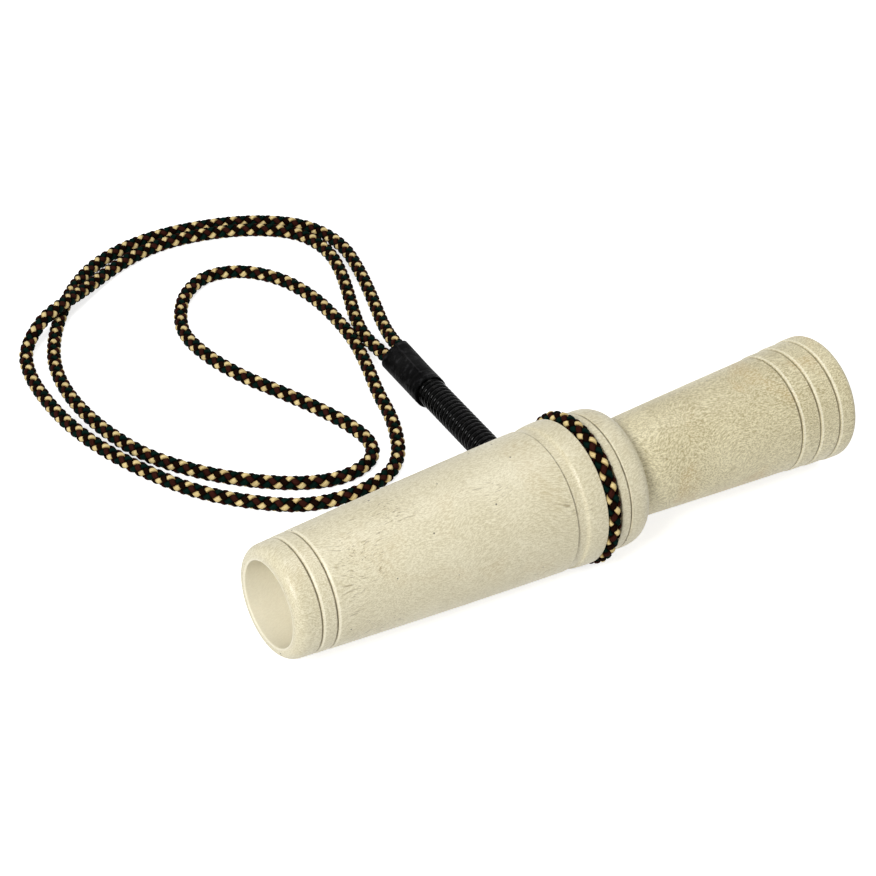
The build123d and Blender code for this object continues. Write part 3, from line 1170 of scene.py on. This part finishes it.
def loop_place(reach, height):
    """Point in the groove, where the loop lies a little askew."""
    lean = loop_tilt * (reach + height - loop_center_height) / loop_radius
    return (loop_plane_x + lean, reach, height)


def loop_route():
    """Control points from the keeper, round the barrel and back. The spline takes only a share of its
    place from the nearest point, so the points lie a little outside the loop."""
    start = math.radians(loop_lower_angle)
    step = math.radians(loop_upper_angle - loop_lower_angle - 360) / (loop_wrap_points - 1)
    radius = loop_radius / (spline_own_share + (1 - spline_own_share) * math.cos(step))
    wrap = []
    for index in range(loop_wrap_points):
        angle = start + index * step
        away = (math.degrees(angle) - loop_slack_angle) / loop_slack_spread
        out = radius + loop_slack * math.exp(-away * away)
        wrap.append(loop_place(out * math.cos(angle), loop_center_height + out * math.sin(angle)))
    root = keeper_root
    lower = [loop_place(root.y + reach, root.z - squeezed_offset) for reach in loop_entry]
    lower.append(loop_place(loop_lower_corner, root.z - strand_offset))
    upper = [loop_place(loop_upper_corner, root.z + strand_offset)]
    upper += [loop_place(root.y + reach, root.z + squeezed_offset) for reach in reversed(loop_entry)]
    return lower + wrap + upper


def add_barrel_loop(yarns):
    cord = CordLine(spline_line(loop_route()), (1, 0, 0), loop_braid_turn)
    whole = (0, cord.length)
    piece = braided_piece("loop_braid", cord, yarns, whole, squeezed_ends(cord.length))
    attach(piece, "lanyard")
    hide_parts("barrel_loop")
    declare_cord(cord, whole)


def squeezed(distance):
    """Size of the braid inside the keeper."""
    return np.full(np.shape(distance), squeezed_share)


def add_keeper_strands(yarns):
    for name, side in (("upper_strand", 1), ("lower_strand", -1)):
        route = [keeper_point(side * squeezed_offset, strand_twist * reach / strand_end, reach)
                 for reach in strand_stations]
        cord = CordLine(spline_line(route), (0, 0, 1))
        piece = braided_piece(name, cord, yarns, (0, cord.length), squeezed)
        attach(piece, "lanyard")
    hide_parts("keeper_strands")


def keeper_points(rise, across, distance):
    """Points from arrays of places in the keeper's frame."""
    parts = zip((keeper_rise, keeper_across, keeper_axis), (rise, across, distance))
    return np.array(keeper_root) + sum(values[..., None] * np.array(way) for way, values in parts)


def add_spring(material):
    turn = np.linspace(0, 2 * math.pi * spring_turns, spring_turns * spring_steps + 1)[:, None]
    around = (np.arange(wire_sides) * 2 * math.pi / wire_sides)[None, :]
    radius = spring_outer_radius - spring_wire / 2 + spring_wire / 2 * np.cos(around)
    distance = spring_start + spring_pitch * turn / (2 * math.pi) + spring_wire / 2 * np.sin(around)
    across = radius * np.sin(turn) + spring_shift
    points = keeper_points(radius * np.cos(turn), across, distance).reshape(-1, 3)
    rings = len(turn)
    faces = ring_faces(rings, wire_sides, False).tolist() + end_faces(0, rings, wire_sides)
    piece = mesh_piece("spring_wire", points * MM, faces, [material])
    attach(piece, "keeper")
    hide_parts("cord_spring")


def sleeve_surface(distance, inset):
    """Rings of the sleeve at distances from its spring end, at an inset from its outside."""
    around = (np.arange(sleeve_sides) * 2 * math.pi / sleeve_sides)[None, :]
    distance = distance[:, None]
    inset = inset[:, None]
    flat = smooth((distance - sleeve_grip) / (sleeve_length - sleeve_grip))
    half_width = sleeve_round_radius + (sleeve_mouth_half_width - sleeve_round_radius) * flat
    half_height = sleeve_round_radius + (sleeve_mouth_half_height - sleeve_round_radius) * flat
    grip = 1 - smooth((distance - sleeve_grip + ripple_fade) / ripple_fade)
    ripple = sleeve_ripple * grip * np.cos(2 * math.pi * distance / spring_pitch)
    away = np.degrees(around) + strand_twist - crease_angle
    away = (away + 180) % 360 - 180
    crease = crease_height * np.exp(-(away / crease_width) ** 2)
    crease = crease * smooth((distance - crease_start) / crease_run)
    wide = (half_width - inset + ripple + crease) * np.cos(around)
    high = (half_height - inset + ripple + crease) * np.sin(around)
    twist = math.radians(strand_twist)
    rise = wide * math.cos(twist) - high * math.sin(twist) + sleeve_shift[0] * (1 - flat)
    across = wide * math.sin(twist) + high * math.cos(twist) + sleeve_shift[1] * (1 - flat)
    wave = rim_wave * np.sin(2 * around + rim_wave_turn)
    wave = wave * smooth((distance - rim_wave_start) / (sleeve_length - rim_wave_start))
    place = keeper_length - sleeve_length + distance + wave
    return keeper_points(rise, across, place)


def add_sleeve(material):
    """Shrunk sleeve: its lip on the spring, its outside, its mouth and its inside, as one closed skin."""
    outer = np.linspace(sleeve_edge_round, sleeve_length - sleeve_wall / 2, sleeve_rows)
    mouth_edge = [sleeve_length, sleeve_length - sleeve_mouth_step]
    mouth_inset = [share * sleeve_wall for share in sleeve_mouth_shares]
    inner = np.linspace(sleeve_length - sleeve_inner_margin, sleeve_inner_margin, sleeve_rows)
    inner_inset = np.full(sleeve_rows, sleeve_wall)
    distance = np.concatenate([sleeve_lip_places, outer, mouth_edge, inner])
    inset = np.concatenate([sleeve_lip_insets, np.zeros(sleeve_rows), mouth_inset, inner_inset])
    rings = sleeve_surface(distance, inset)
    faces = ring_faces(len(rings), sleeve_sides, True)
    piece = mesh_piece("shrunk_sleeve", rings.reshape(-1, 3) * MM, faces, [material])
    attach(piece, "keeper")
    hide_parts("cord_sleeve")


def dress(material, *names):
    """Give CAD nodes that stay a material."""
    for name in names:
        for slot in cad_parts[name].material_slots:
            slot.material = material


add_camera()
add_area_light("key", key_place, key_size, key_power)
add_area_light("top", top_place, top_size, top_power)
add_world()
add_floor()
bpy.context.scene.view_settings.view_transform = "Standard"

cord_yarns = make_yarns()
add_neck_cord(cord_yarns)
add_barrel_loop(cord_yarns)
add_keeper_strands(cord_yarns)
add_spring(wire_material())
add_sleeve(sleeve_material())
add_barrel()
add_insert()
dress(board_material(), "tone_board")
dress(film_material(), "reed", "reed_heel")
dress(cork_material(), "wedge")
dress(rubber_material(), "o_ring_front", "o_ring_rear")
